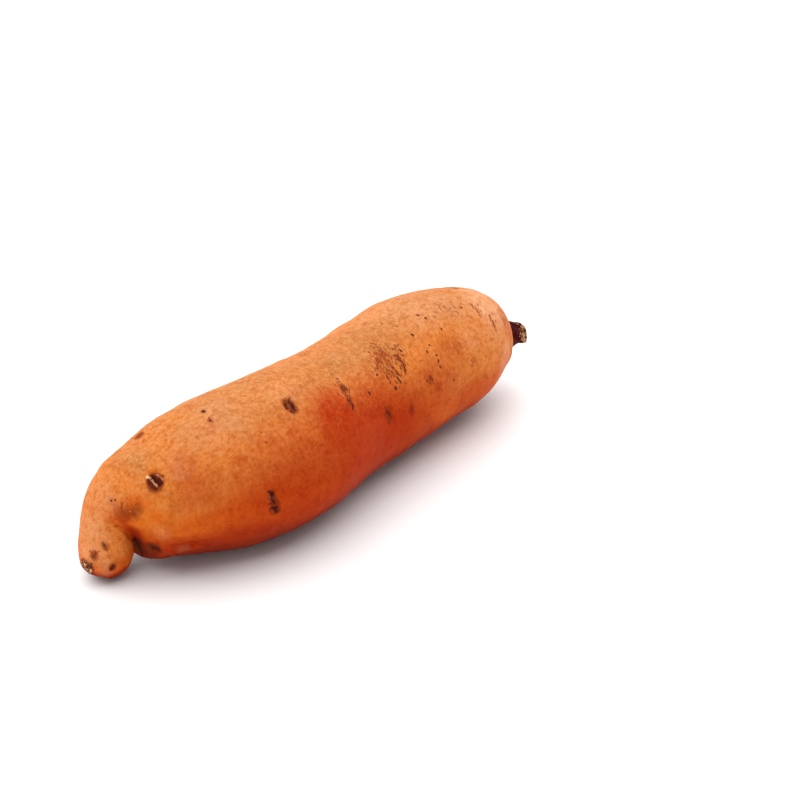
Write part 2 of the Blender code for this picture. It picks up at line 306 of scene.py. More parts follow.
# Corky flecks: X, Y and Z of a place near the surface, length round the root and width along it, in
# millimetres, and how dark it is.
FLECKS = (
    (34, -7.9, 48.7, 1.84, 1.12, 1),
    (24.3, -8.1, 48.4, 1.15, 0.62, 0.69),
    (25.7, -8.5, 48.2, 1.03, 0.62, 0.69),
    (24.8, -8.8, 48, 1.15, 0.5, 0.57),
    (22.1, -9, 47.9, 1.49, 0.5, 0.57),
    (21.2, -8.3, 48.2, 1.15, 0.5, 0.52),
    (24.8, -10.6, 46.9, 2.3, 1.12, 0.69),
    (24.3, -12.2, 45.9, 1.49, 0.88, 0.75),
    (21.2, -11.3, 46.5, 1.72, 0.62, 0.8),
    (21.5, -12.5, 45.7, 1.61, 0.62, 0.75),
    (22.1, -13.5, 44.9, 2.07, 0.62, 0.8),
    (21.9, -15.1, 43.4, 2.18, 1, 1),
    (21, -14.7, 43.8, 1.15, 0.75, 0.98),
    (21.7, -15.9, 42.5, 1.61, 0.88, 0.8),
    (21.2, -16.4, 42, 1.49, 0.75, 0.69),
    (17.1, -14.1, 44.4, 1.38, 0.75, 0.86),
    (17.4, -15.2, 43.4, 2.3, 0.62, 0.8),
    (17.6, -16.2, 42.3, 2.07, 0.62, 0.8),
    (12.5, -15.4, 43.3, 2.53, 0.69, 0.8),
    (12.6, -16.1, 42.6, 1.61, 0.62, 0.75),
    (12.5, -17, 41.4, 2.07, 0.62, 0.69),
    (16.2, -16.7, 41.7, 1.72, 0.75, 1),
    (16.8, -17.5, 40.6, 2.53, 1, 1),
    (16.9, -17.9, 40, 1.49, 0.75, 0.92),
    (13.6, -18.6, 39.2, 2.18, 1.25, 1),
    (8.9, -14, 44.8, 1.38, 1, 0.98),
    (9.3, -12.7, 45.7, 1.38, 0.5, 0.57),
    (16.4, -11, 46.7, 1.38, 0.75, 0.46),
    (16.4, -5.4, 49.3, 1.38, 0.62, 0.46),
    (17.6, -5.3, 49.4, 1.15, 0.62, 0.4),
    (21.5, -6.1, 49.2, 1.26, 0.62, 0.4),
    (21.5, -7.3, 48.7, 1.26, 0.62, 0.4),
    (17.9, -7.3, 48.6, 1.15, 0.62, 0.46),
    (16.9, -7.5, 48.5, 1.15, 0.62, 0.46),
    (13.2, -8.1, 48.2, 1.03, 0.62, 0.52),
    (12.6, -7.6, 48.4, 1.03, 0.5, 0.46),
    (10.2, -8.3, 48.1, 0.92, 0.5, 0.4),
    (0.8, -17.8, 42.3, 1.72, 1.12, 1),
    (42.7, -2.5, 51.9, 1.61, 1.12, 0.92),
    (44.2, -5.1, 51, 1.38, 1.25, 1),
    (32, -2, 51.4, 1.38, 0.88, 0.46),
    (29.2, 2.8, 51.9, 1.15, 1, 0.4),
    (25.7, 8, 51.4, 1.15, 0.88, 0.52),
    (46.5, -10.9, 47.7, 1.38, 0.88, 0.86),
    (62.4, -6.1, 48.2, 1.49, 1, 0.8),
    (37.4, -13.1, 45.2, 1.15, 1, 0.75),
    (34.9, -14.4, 43.9, 1.72, 1, 0.57),
    (38, -16.1, 41.8, 1.49, 0.88, 0.86),
    (37.8, -17.3, 40, 1.95, 1, 0.98),
    (37.6, -18.3, 37.9, 1.72, 0.88, 0.98),
    (42.8, -20.4, 31.2, 1.72, 1.12, 0.8),
    (31.3, -19.2, 36.4, 1.61, 0.88, 0.52),
    (29.4, -19.4, 36.2, 1.38, 1, 0.57),
    (-59, 0.7, 53, 1.9, 1.7, 1),
    (-60.4, -4.2, 52.2, 1.95, 0.88, 0.69),
    (-60, -3.2, 52.6, 1.03, 0.62, 0.46),
    (-50.3, -17.7, 48.7, 1.03, 0.62, 0.52),
    (-50.8, -20.6, 46.3, 1.26, 0.75, 0.46),
    (-8.4, -11.6, 49.6, 1.03, 1, 0.8),
    (-13.6, -17.2, 47.5, 1.95, 0.62, 0.86),
    (-7.1, -16.2, 46.6, 0.8, 0.62, 0.57),
    (-9.9, -16.8, 46.6, 0.8, 0.62, 0.57),
    (-8.1, -17.2, 46.2, 0.8, 0.62, 0.57),
    (-10.8, -17.6, 46.1, 0.92, 0.75, 0.69),
    (-9.1, -18, 45.5, 0.92, 0.75, 0.63),
    (-13.8, -21.2, 44.4, 0.92, 0.75, 0.46),
    (-12.7, -21.6, 43.5, 0.92, 0.75, 0.57),
    (9.3, -22.5, 28.7, 1.03, 0.88, 0.69),
    (5.5, -21, 35.7, 0.92, 0.75, 0.52),
    (-94.4, 8.7, 30.8, 1.26, 1, 0.69),
    (-93.7, 7.3, 31.3, 1.15, 0.75, 0.63),
    (-102.2, 12, 13.5, 0.8, 0.75, 0.57),
    (-94.2, 6.4, 21.4, 0.92, 0.62, 0.69),
    (-102.2, 10.3, 12.2, 1.03, 0.75, 0.57),
    (-101.4, 9.8, 13.4, 1.26, 0.75, 0.57),
    (72.1, -5.7, 45.7, 1.72, 0.62, 0.4),
    (70.7, -8.4, 44.3, 1.38, 0.62, 0.4),
    (76.4, -9, 41.4, 1.84, 0.62, 0.52),
    (75.6, -11.2, 39.1, 1.84, 0.75, 0.52),
    (61.6, -18.8, 24.5, 1.84, 0.62, 0.57),
)
# Clusters of small flecks: X, Y and Z of the middle, reach along and round the root, in millimetres, how many
# flecks, and how dark.
CLUSTERS = (
    (16, -9.5, 48, 4.8, 5.2, 100, 0.3),
    (21.5, -13, 45.4, 2.6, 5, 40, 0.5),
    (15.5, -16, 42.6, 2.8, 4, 36, 0.5),
    (11.5, -12, 46, 3.4, 4.4, 26, 0.35),
    (55, -4, 50.5, 7, 6, 26, 0.12),
    (69, -7.8, 46, 1.2, 4.2, 14, 0.42),
    (73.8, -12, 40.6, 1, 3.6, 14, 0.5),
    (83, -10, 36, 1.6, 3.4, 7, 0.3),
    (-9.8, -15.5, 47.6, 2.6, 3.8, 20, 0.7),
    (-11.2, -20.2, 44.4, 1.9, 2.6, 12, 0.8),
    (6.4, -21.6, 32.6, 2, 3.8, 14, 0.9),
    (31, -19.6, 35.6, 2.6, 1.8, 10, 0.6),
    (-35, -15.6, 51.6, 2, 3, 16, 0.75),
    (-55, -27.2, 28.4, 1.5, 3.4, 12, 0.75),
    (-83.6, -2.4, 38.4, 1.8, 2.4, 7, 0.7),
    (54, -17, 33, 3, 1.8, 9, 0.22),
    (-92.6, 5, 28.6, 2.6, 2.2, 9, 0.4),
    (-102, 10.4, 11.6, 1.8, 1.8, 8, 0.4),
    (-22, 27, 27, 2.8, 4.2, 14, 0.7),
    (24, 22, 40, 3, 4.6, 18, 0.6),
    (52, 25, 22, 2.6, 4, 12, 0.7),
    (-4, 12, 53, 4, 5, 18, 0.4),
    (-62, 22, 42, 2.4, 3.6, 12, 0.7),
    (66, 14, 41, 3.6, 4, 14, 0.5),
    (10, 4, 1, 4, 5, 12, 0.5),
)
# The vine stub, in millimetres: the middle of its torn end, the way that it points, its radius, and how far
# round its end the skin's mesh is fine.
STUB_END = Vector((99.5, -6.9, 23.5))
STUB_WAY = Vector((0.28, -0.862, 0.423)).normalized()
STUB_RADIUS = 4.2
STUB_REACH = 6.0
# The torn tissue's middle, from the middle of the stub's end: it was torn off towards the lower side.
TORN_SHIFT = (1.3, -0.1, -1.0)
# Where marks and lines end and over how much they fade, as shares of their reach.
MARK_EDGE = (1.6, 1.2)
LINE_EDGE = (1.1, 0.9)
# A fibre is a tube with so many rings and sides.
FIBRE_RINGS, FIBRE_SIDES = 5, 7
# The seed of all that is strewn at random.
SEED = 24

# Noise in the skin's relief: waves for each metre along X, Y and Z, and a shift that sets it off from others.
RAGGED = ((900, 900, 900), (0, 0, 0))
CALM = ((30, 30, 30), (5, 1, 2))
SWELLING = ((95, 95, 95), (1, 2, 3))
SMALL_SWELLING = ((230, 230, 230), (3, 8, 1))
WRINKLE = ((330, 60, 60), (4, 0, 0))
FINE_WRINKLE = ((700, 160, 160), (0, 7, 0))
DRIFT = ((22, 22, 22), (2, 2, 8))
# The grooves of the vine stub's bark, whose waves are for each millimetre.
GROOVES = ((1, 1, 1), (9, 0, 0))

# Noise in the materials: waves for each metre, how many finer layers it has, and how strong they are.
PATCHES = (38, 4, 0.55)
CLOUDS = (95, 4, 0.6)
BLOTCHES = (260, 3, 0.6)
STREAKS = (520, 3, 0.6)
MOTTLE = (720, 4, 0.68)
CRUMBS = (1500, 2, 0.5)
GRAIN = (2600, 2, 0.5)
CORK = (2200, 3, 0.6)
THREADS = (1500, 3, 0.6)
HAZE = (3, 2, 0.5)
# Streaks run round the root, so they are drawn out along Y and Z.
ROUND_ROOT = (1.0, 0.16, 0.16)

# The picture that the camera is fitted to, in pixels: its side, and where it shows the root's origin.
IMAGE = 800
ORIGIN_PIXEL = (333.1, 477.9)


def colour(name, description, default):
    """A setting that holds a colour."""
    return FloatVectorProperty(
        name=name, description=description, subtype="COLOR", size=3, min=0.0, max=1.0, default=default
    )


def length(name, description, default):
    """A setting that holds a length, in metres."""
    return FloatProperty(name=name, description=description, subtype="DISTANCE", default=default)


class SkinSettings(bpy.types.PropertyGroup):
    """Colours and relief of the skin."""

    # The colours from belly to top are painted light and shade: belly and flank are painted shade, the
    # shoulder and top paler as painted light.
    shaded_belly: colour("Belly", "Colour of the skin that faces down", (0.215, 0.017, 0.003))
    shaded_flank: colour("Flank", "Colour between the belly and the side", (0.43, 0.037, 0.003))
    side: colour("Side", "Colour of the skin that faces sideways", (0.67, 0.125, 0.012))
    shoulder: colour("Shoulder", "Colour between the side and the top", (0.73, 0.225, 0.045))
    top: colour("Top", "Colour of the skin that faces up", (0.50, 0.194, 0.058))
    # The flush is partly the skin's own redder colour and partly painted shade.
    flush: colour("Flush", "Colour of the redder patches", (0.47, 0.036, 0.001))
    # Peach is laid only where the skin faces up: partly the skin's own bloom, partly painted sheen.
    peach: colour("Peach", "Colour of the paler patches", (0.78, 0.38, 0.18))
    # Chalk is laid on the pale marks, which are mostly a painted highlight.
    chalk_and_highlight: colour("Chalk", "Colour of the palest, pinkish patches", (0.86, 0.47, 0.27))
    gold: colour("Gold", "Colour round the root scars", (0.70, 0.21, 0.020))
    # The scar colour is laid on the brown marks, which hold painted shade in and beside the crease too.
    scar: colour("Scar", "Colour of the brown scars", (0.17, 0.028, 0.006))
    furrow: colour("Furrow", "Colour at the bottom of a furrow", (0.065, 0.009, 0.005))
    ridge: colour("Ridge", "Colour of the ridges in a scar", (0.66, 0.30, 0.17))
    cream: colour("Cream", "Colour of the torn bits of skin", (0.82, 0.55, 0.30))
    speckle: colour("Speckle", "Tint that darkens the mottled skin", (0.80, 0.56, 0.34))
    # Umber darkens round the brown marks, and so lays painted shade in and beside the crease too.
    umber: colour("Umber", "Tint that darkens the skin round a brown scar", (0.60, 0.34, 0.24))
    bark: colour("Bark", "Colour of the vine stub's skin", (0.050, 0.007, 0.009))
    worn_bark: colour("Worn bark", "Colour where the stub's skin is worn", (0.17, 0.030, 0.024))
    torn: colour("Torn", "Colour of the torn tissue at the stub's end", (0.60, 0.31, 0.13))
    holes: colour("Holes", "Colour of the holes in the torn tissue", (0.10, 0.025, 0.012))
    roughness: FloatProperty(
        name="Roughness", description="Roughness of the skin", default=0.52, min=0.0, max=1.0
    )
    swelling: length("Swellings", "Height of the low swellings", 0.26 * MM)
    wrinkle: length("Wrinkles", "Height of the wrinkles round the root", 0.08 * MM)
    pit_depth: length("Pit depth", "Depth of the deepest root scar", 0.6 * MM)
    furrow_depth: length("Furrow depth", "Depth of the deepest furrow", 0.42 * MM)
    stub_ridge: length("Stub ridges", "Height of the ridges on the vine stub", 0.5 * MM)


class FleckSettings(bpy.types.PropertyGroup):
    """Size and colour of the corky flecks."""

    dark: colour("Dark", "Colour of the darkest flecks", (0.095, 0.014, 0.005))
    light: colour("Light", "Colour of the faintest flecks", (0.34, 0.058, 0.010))
    height: length("Height", "How far a fleck stands proud", 0.05 * MM)
    strays: IntProperty(name="Strays", description="Flecks strewn over the whole root", default=150, min=0)


class FibreSettings(bpy.types.PropertyGroup):
    """The torn fibres at both ends and the broken rootlets."""

    straw: colour("Straw", "Colour of the fibres' ends", (0.74, 0.42, 0.22))
    bark: colour("Bark", "Colour of the fibres' feet", (0.13, 0.035, 0.014))
    stub_fibres: IntProperty(name="Stub fibres", description="Fibres on the vine stub", default=16, min=0)
    tip_fibres: IntProperty(name="Tip fibres", description="Fibres on the root tip", default=34, min=0)
    longest: length("Longest", "Length of the longest fibre", 2.2 * MM)
    thickest: length("Thickest", "Thickness of the thickest fibre", 0.7 * MM)


class StageSettings(bpy.types.PropertyGroup):
    """The floor, the lights and the camera."""

    floor: colour("Floor", "Colour of the floor", (0.93, 0.93, 0.93))
    haze: colour("Haze", "Colour of the floor's faint clouds", (0.9, 0.9, 0.9))
    sky: FloatProperty(name="Sky", description="Strength of the light from all round", default=0.335, min=0.0)
    key: FloatProperty(name="Key", description="Power of the overhead light", default=207.0, subtype="POWER")
    left: FloatProperty(
        name="Left", description="Power of the light beside the tip", default=4.5, subtype="POWER"
    )
    right: FloatProperty(
        name="Right", description="Power of the light beside the crown", default=7.0, subtype="POWER"
    )
    azimuth: FloatProperty(
        name="Azimuth", description="Way the camera looks from", default=math.radians(-47), subtype="ANGLE"
    )
    elevation: FloatProperty(
        name="Elevation", description="Height of the camera", default=math.radians(30), subtype="ANGLE"
    )
    distance: length("Distance", "From the root to the camera", 0.69)
    lens: FloatProperty(name="Lens", description="Focal length in millimetres", default=85.0, min=1.0)
    across: FloatProperty(
        name="Across",
        description="Where the origin is drawn, as a share of the width",
        default=ORIGIN_PIXEL[0] / IMAGE,
    )
    down: FloatProperty(
        name="Down",
        description="Where the origin is drawn, as a share of the height",
        default=ORIGIN_PIXEL[1] / IMAGE,
    )


class Signal:
    """A value in a material. Sums and products on it add the Math nodes that work them out."""

    def __init__(self, finish, socket):
        self.finish = finish
        self.socket = socket

    def _math(self, operation, first, second):
        """The value that one Math node works out."""
        made = self.finish.node("ShaderNodeMath", {"operation": operation}, {0: first, 1: second})
        return Signal(self.finish, made.outputs[0])

    def __add__(self, other):
        return self._math("ADD", self, other)

    __radd__ = __add__

    def __sub__(self, other):
        return self._math("SUBTRACT", self, other)

    def __rsub__(self, other):
        return self._math("SUBTRACT", other, self)

    def __mul__(self, other):
        return self._math("MULTIPLY", self, other)

    __rmul__ = __mul__


class Finish:
    """A material being made, from nothing but a Principled shader."""

    def __init__(self, name):
        self.material = bpy.data.materials.new(name)
        self.material.use_nodes = True
        self.nodes = self.material.node_tree.nodes
        self.links = self.material.node_tree.links
        self.shader = self.nodes["Principled BSDF"]

    def node(self, kind, settings=None, sockets=None):
        """Any node: its settings are set first, then the values or links of its sockets."""
        made = self.nodes.new(kind)
        for name, value in (settings or {}).items():
            setattr(made, name, value)
        self.feed(made, sockets or {})
        return made

    def feed(self, node, sockets):
        """Links or sets each named socket of a node."""
        for name, value in sockets.items():
            if isinstance(value, Signal):
                self.links.new(value.socket, node.inputs[name])
            elif node.inputs[name].type == "RGBA":
                node.inputs[name].default_value = (*value, 1.0)
            else:
                node.inputs[name].default_value = value

    def places(self, stretch=(1.0, 1.0, 1.0)):
        """Places on the piece, stretched along its axes."""
        where = self.node("ShaderNodeTexCoord")
        scaled = self.node(
            "ShaderNodeVectorMath",
            {"operation": "MULTIPLY"},
            {0: Signal(self, where.outputs["Object"]), 1: stretch},
        )
        return Signal(self, scaled.outputs[0])

    def noise(self, places, scale, detail, roughness):
        """Noise of 0 to 1 over the piece."""
        made = self.node(
            "ShaderNodeTexNoise",
            {},
            {"Vector": places, "Scale": scale, "Detail": detail, "Roughness": roughness},
        )
        return Signal(self, made.outputs[0])

    def ramp(self, value, low, high, start=0.0, end=1.0):
        """Goes smoothly from start to end while the value goes from low to high."""
        made = self.node(
            "ShaderNodeMapRange",
            {"interpolation_type": "SMOOTHSTEP"},
            {"Value": value, "From Min": low, "From Max": high, "To Min": start, "To Max": end},
        )
        return Signal(self, made.outputs[0])

    def uneven(self, value, *noises):
        """A value that each noise raises and lowers, by the amount given with it."""
        for made, amount in noises:
            value = value + (made - 0.5) * amount
        return value

    def mark(self, name):
        """How strong a mark is here, as kept in the mesh."""
        made = self.node("ShaderNodeAttribute", {"attribute_name": name})
        return Signal(self, made.outputs["Fac"])

    def blend(self, share, first, second, way="MIX"):
        """The second colour over the first, by share."""
        made = self.node(
            "ShaderNodeMix", {"data_type": "RGBA", "blend_type": way}, {0: share, 6: first, 7: second}
        )
        return Signal(self, made.outputs[2])

    def bump(self, height, distance, strength):
        """Fine relief, too small for the mesh."""
        made = self.node("ShaderNodeBump", {}, {"Height": height, "Distance": distance, "Strength": strength})
        return Signal(self, made.outputs[0])


def skin_finish(settings):
    """Orange skin with painted shade below and painted light above, brown scars, dark furrows and a torn stub.
    """
    finish = Finish("skin")
    places = finish.places()
    patches = finish.noise(places, *PATCHES)
    clouds = finish.noise(places, *CLOUDS)
    blotches = finish.noise(places, *BLOTCHES)
    mottle = finish.noise(places, *MOTTLE)
    crumbs = finish.noise(places, *CRUMBS)
    grain = finish.noise(places, *GRAIN)
    streaks = finish.noise(finish.places(ROUND_ROOT), *STREAKS)

    # Painted light and shade: each colour in turn covers the one before it, while the facing goes from the
    # first value to the second.
    lift = finish.uneven(finish.mark("lift"), (patches, 0.3), (clouds, 0.3))
    shade = settings.shaded_belly
    for low, high, above in (
        (-0.8, -0.25, settings.shaded_flank),
        (-0.4, -0.05, settings.side),
        (0.0, 0.4, settings.shoulder),
        (0.6, 1.1, settings.top),
    ):
        shade = finish.blend(finish.ramp(lift, low, high), shade, above)
    # Redder patches, partly painted shade; they show where the skin faces sideways or up, not on the belly.
    reddened_and_shaded = finish.ramp(finish.uneven(finish.mark("flush"), (clouds, 0.5), (patches, 0.35)), 0.0, 1.0)
    reddened_and_shaded = reddened_and_shaded * finish.ramp(lift, -0.6, -0.15)
    shade = finish.blend(reddened_and_shaded, shade, settings.flush)
    gilded = finish.mark("gold") * finish.ramp(clouds, 0.2, 0.7, 0.3, 1.0)
    shade = finish.blend(gilded, shade, settings.gold)
    # The pale marks are mostly a painted highlight, with some of the skin's own pale specks.
    chalked_and_lit = finish.mark("pale") * finish.ramp(streaks, 0.25, 0.7, 0.3, 1.0)
    shade = finish.blend(chalked_and_lit, shade, settings.chalk_and_highlight)

    # Each noise darkens the skin where it goes from the first value to the second, by so much at most.
    for made, low, high, most in (
        (streaks, 0.46, 0.7, 0.32),
        (blotches, 0.46, 0.66, 0.5),
        (mottle, 0.52, 0.32, 0.75),
        (crumbs, 0.45, 0.25, 0.6),
    ):
        shade = finish.blend(finish.ramp(made, low, high, 0.0, most), shade, settings.speckle, "MULTIPLY")
    # Pale peach specks that show only where the skin faces up: partly the skin's own bloom, partly painted
    # sheen.
    bloom_and_sheen = finish.ramp(mottle, 0.5, 0.68, 0.0, 0.34) * finish.ramp(lift, 0.0, 0.7)
    shade = finish.blend(bloom_and_sheen * (1 - reddened_and_shaded * 0.75), shade, settings.peach)

    # The brown marks are corky scars and also painted shade in and beside the crease: darkened round, then
    # scar-coloured.
    halo_and_shade = finish.ramp(finish.uneven(finish.mark("brown"), (blotches, 0.9), (clouds, 0.6)), 0.1, 1.0)
    shade = finish.blend(halo_and_shade, shade, settings.umber, "MULTIPLY")
    brown = finish.ramp(finish.uneven(finish.mark("brown"), (mottle, 1.6)), 0.3, 1.0, 0.0, 0.85)
    shade = finish.blend(brown, shade, settings.scar)
    bark = finish.ramp(finish.uneven(finish.mark("bark"), (mottle, 0.6)), 0.25, 0.75)
    worn = finish.blend(finish.ramp(mottle, 0.45, 0.75), settings.bark, settings.worn_bark)
    shade = finish.blend(bark, shade, worn)
    tissue = finish.blend(finish.ramp(mottle, 0.36, 0.56), settings.holes, settings.torn)
    shade = finish.blend(finish.mark("torn"), shade, tissue)
    shade = finish.blend(finish.mark("rim") * 0.85, shade, settings.ridge)

    # The marks on top: their noises, where they start to show and show most, how much, and their colour.
    for name, noises, low, high, most, tint in (
        ("furrow", ((mottle, 1.2), (crumbs, 1.4)), 0.2, 0.9, 0.95, settings.furrow),
        ("ridge", ((mottle, 0.9),), 0.3, 0.8, 0.85, settings.ridge),
        ("cream", ((mottle, 0.5),), 0.35, 0.6, 1.0, settings.cream),
    ):
        shown = finish.ramp(finish.uneven(finish.mark(name), *noises), low, high, 0.0, most)
        shade = finish.blend(shown, shade, tint)

    finish.feed(
        finish.shader,
        {
            "Base Color": shade,
            "Roughness": finish.uneven(settings.roughness + brown * 0.2 + bark * 0.2, (mottle, 0.25)),
            "Normal": finish.bump(mottle * 0.6 + streaks * 0.4 + grain * 0.25, 0.4 * MM, 0.55),
            "IOR": 1.42,
            "Specular IOR Level": 0.04,
            "Subsurface Weight": 0.08,
            "Subsurface Radius": (1.0, 0.32, 0.10),
            "Subsurface Scale": 2 * MM,
        },
    )
    return finish.material


def dry_finish(name, kind, first, last, amount, low, high, roughness, gloss):
    """Dry plant stuff, that goes from its first colour to its last as its tone and noise rise."""
    finish = Finish(name)
    made = finish.noise(finish.places(), *kind)
    tone = finish.ramp(finish.uneven(finish.mark("tone"), (made, amount)), low, high)
    finish.feed(
        finish.shader,
        {
            "Base Color": finish.blend(tone, first, last),
            "Roughness": roughness,
            "Specular IOR Level": gloss,
            "Normal": finish.bump(made, 0.1 * MM, 0.5),
        },
    )
    return finish.material


def fleck_finish(settings):
    """Dry cork, darker where a fleck is old."""
    tints = settings.light, settings.dark
    return dry_finish("fleck", CORK, *tints, amount=0.5, low=0.1, high=0.95, roughness=0.8, gloss=0.15)


def fibre_finish(settings):
    """Dry plant fibre, dark at the foot and straw-coloured at the torn end."""
    tints = settings.bark, settings.straw
    return dry_finish("fibre", THREADS, *tints, amount=0.7, low=0.15, high=0.85, roughness=0.78, gloss=0.25)


def floor_finish(settings):
    """Plain matt white board."""
    finish = Finish("floor")
    clouded = finish.ramp(finish.noise(finish.places(), *HAZE), 0.2, 0.8, 0.0, 0.02)
    board = finish.blend(clouded, settings.floor, settings.haze)
    finish.feed(finish.shader, {"Base Color": board, "Roughness": 0.7, "Specular IOR Level": 0.2})
    return finish.material


def smooth(value):
    """Eases a share of 0 to 1 in and out, for an array."""
    value = np.clip(value, 0.0, 1.0)
    return value * value * (3 - 2 * value)


def within(value, edge, fade):
    """1 where a value lies under an edge by at least the fade, and 0 past the edge."""
    return smooth((edge - value) / fade)


def past(value, edge, fade):
    """0 up to an edge, and 1 where a value is past it by at least the fade."""
    return smooth((value - edge) / fade)


def swell(points, waves, shift):
    """Smooth noise of -1 to 1 at each point, with so many waves to the unit along X, Y and Z."""
    offset = Vector(shift)
    return np.array([noise.noise(Vector(point) + offset) for point in points * np.array(waves)])


def marked(points, marks, tree, adding=False):
    """How strongly each point is marked, falling to 0 past a mark's edge. Marks that overlap can add up."""
    found = np.zeros(len(points))
    for x, y, z, along, around, strength in marks:
        middle = np.array(tree.find_nearest(Vector((x, y, z)) * MM)[0])
        offset = (points - middle) / MM
        reach = np.hypot(offset[:, 0] / along, np.linalg.norm(offset[:, 1:], axis=1) / around)
        here = strength * within(reach, *MARK_EDGE)
        found = 1 - (1 - found) * (1 - here) if adding else np.maximum(found, here)
    return found


def gap_to(points, start, end):
    """How far each point is from a straight line between two places."""
    run = end - start
    share = np.clip((points - start) @ run / (run @ run), 0.0, 1.0)
    return np.linalg.norm(points - start - share[:, None] * run, axis=1)


def lined(points, lines, tree, wander=0.0):
    """How strongly each point is marked by lines, falling to 0 past a line's reach. Lines don't add up."""
    found = np.zeros(len(points))
    for line in lines:
        start = np.array(tree.find_nearest(Vector(line[:3]) * MM)[0])
        end = np.array(tree.find_nearest(Vector(line[3:6]) * MM)[0])
        gap = gap_to(points, start, end) / (line[6] * MM) + wander
        strength = line[7] * within(gap, *LINE_EDGE)
        found = np.where(abs(strength) > abs(found), strength, found)
    return found


def coordinates(mesh, kind="co"):
    """The places of a mesh's corners, or their normals, as an array."""
    flat = np.empty(len(mesh.vertices) * 3)
    mesh.vertices.foreach_get(kind, flat)
    return flat.reshape(-1, 3)


def keep_marks(mesh, marks):
    """Stores named values for each vertex, for the materials to read."""
    for name, values in marks.items():
        layer = mesh.attributes.new(name, "FLOAT", "POINT")
        layer.data.foreach_set("value", np.asarray(values, np.float32))


def split(shell, faces):
    """Cuts each of these faces into four."""
    edges = {edge for face in faces for edge in face.edges}
    bmesh.ops.subdivide_edges(shell, edges=list(edges), cuts=1, use_grid_fill=True)


def fine_copy(cad):
    """The CAD root with its facets joined into quads and rounded off, finest at the scars and the ends."""
    shell = bmesh.new()
    shell.from_mesh(cad.data)
    bmesh.ops.remove_doubles(shell, verts=shell.verts, dist=WELD)
    bmesh.ops.join_triangles(
        shell, faces=shell.faces, angle_face_threshold=JOIN_ANGLE, angle_shape_threshold=JOIN_ANGLE
    )
    coarse = bpy.data.meshes.new("coarse")
    shell.to_mesh(coarse)
    shell.free()
    holder = bpy.data.objects.new("coarse", coarse)
    bpy.context.scene.collection.objects.link(holder)
    holder.modifiers.new("rounding", "SUBSURF").levels = 1
    graph = bpy.context.evaluated_depsgraph_get()
    fine = bpy.data.meshes.new_from_object(holder.evaluated_get(graph))
    bpy.data.objects.remove(holder)

    shell = bmesh.new()
    shell.from_mesh(fine)
    split(shell, [face for face in shell.faces if face.calc_area() > COARSE_FACE * MM**2])
    for _ in range(2):
        split(shell, close_up(shell))
    shell.to_mesh(fine)
    shell.free()
    return fine


def close_up(shell):
    """The faces that lie near a scar, a furrow or the torn stub and are still too big to show it."""
    faces = [face for face in shell.faces if face.calc_area() > FINE_FACE * MM**2]
    middles = np.array([face.calc_center_median() for face in faces]) / MM
    near = np.linalg.norm(middles - np.array(STUB_END), axis=1) < STUB_REACH
    for line in (*FURROWS, *RIDGES):
        near |= gap_to(middles, np.array(line[:3]), np.array(line[3:6])) < FINE_REACH + line[6]
    return [face for face, chosen in zip(faces, near) if chosen]


def stub_middle(points):
    """The middle of the vine stub's torn end, as it lies in the skin's mesh."""
    reach = (points / MM - np.array(STUB_END)) @ np.array(STUB_WAY)
    near = np.linalg.norm(points / MM - np.array(STUB_END), axis=1) < STUB_REACH + 2
    return points[near & (reach > reach[near].max() - 1.0)].mean(axis=0)


def tree_of(mesh):
    """A search tree over a mesh's faces, for finding the nearest place on it."""
    shell = bmesh.new()
    shell.from_mesh(mesh)
    tree = BVHTree.FromBMesh(shell)
    shell.free()
    return tree


def add_tube(shell, path, radii, tones, layer):
    """A closed tapering tube along a path, with a tone for each of its rings."""
    rings = []
    for i, (place, radius, tone) in enumerate(zip(path, radii, tones)):
        ahead = path[min(i + 1, len(path) - 1)] - path[max(i - 1, 0)]
        turn = ahead.to_track_quat("Z", "Y").to_matrix()
        ring = []
        for side in range(FIBRE_SIDES):
            angle = 2 * math.pi * side / FIBRE_SIDES
            out = turn @ Vector((radius * math.cos(angle), radius * math.sin(angle), 0.0))
            vert = shell.verts.new(place + out)
            vert[layer] = tone
            ring.append(vert)
        rings.append(ring)
    for ring, following in zip(rings, rings[1:]):
        for side in range(FIBRE_SIDES):
            beyond = (side + 1) % FIBRE_SIDES
            shell.faces.new((ring[side], ring[beyond], following[beyond], following[side]))
    shell.faces.new(list(reversed(rings[0])))
    shell.faces.new(rings[-1])


def toned_shell():
    """An empty mesh to build in, and the tone that each of its corners keeps for the material."""
    shell = bmesh.new()
    return shell, shell.verts.layers.float.new("tone")


def any_side(way, rng):
    """A direction square to the given one, turned round it at random."""
    side = way.orthogonal().normalized()
    side.rotate(Matrix.Rotation(rng.uniform(0, 2 * math.pi), 3, way))
    return side


def fibre(shell, layer, rng, foot, way, reach, thickness, sway=0.35):
    """One torn fibre from its foot, bending a little, thinner and paler towards its end."""
    side = any_side(way, rng)
    path, radii, tones = [], [], []
    light = rng.uniform(0.35, 1.0)
    for step in range(FIBRE_RINGS):
        share = step / (FIBRE_RINGS - 1)
        path.append(foot + way * (reach * share) + side * (reach * sway * share**2))
        radii.append(thickness / 2 * (1 - 0.55 * share) * rng.uniform(0.85, 1.1))
        tones.append(light * share**0.7)
    add_tube(shell, path, radii, tones, layer)


def finished(name, shell_or_mesh, material):
    """A new object for a piece, with its one material, that rides on the root."""
    mesh = shell_or_mesh
    if isinstance(shell_or_mesh, bmesh.types.BMesh):
        mesh = bpy.data.meshes.new(name)
        shell_or_mesh.to_mesh(mesh)
        shell_or_mesh.free()
    mesh.name = name
    mesh.materials.clear()
    mesh.materials.append(material)
    mesh.shade_smooth()
    piece = bpy.data.objects.new(name, mesh)
    bpy.context.scene.collection.objects.link(piece)
    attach(piece, BODY)
    return piece


def skin_surface():
    """The finished skin's own mesh, for the pieces that stand on it."""
    if "skin" not in bpy.data.objects:
        raise RuntimeError("the skin has to be made first")
    return bpy.data.objects["skin"].data


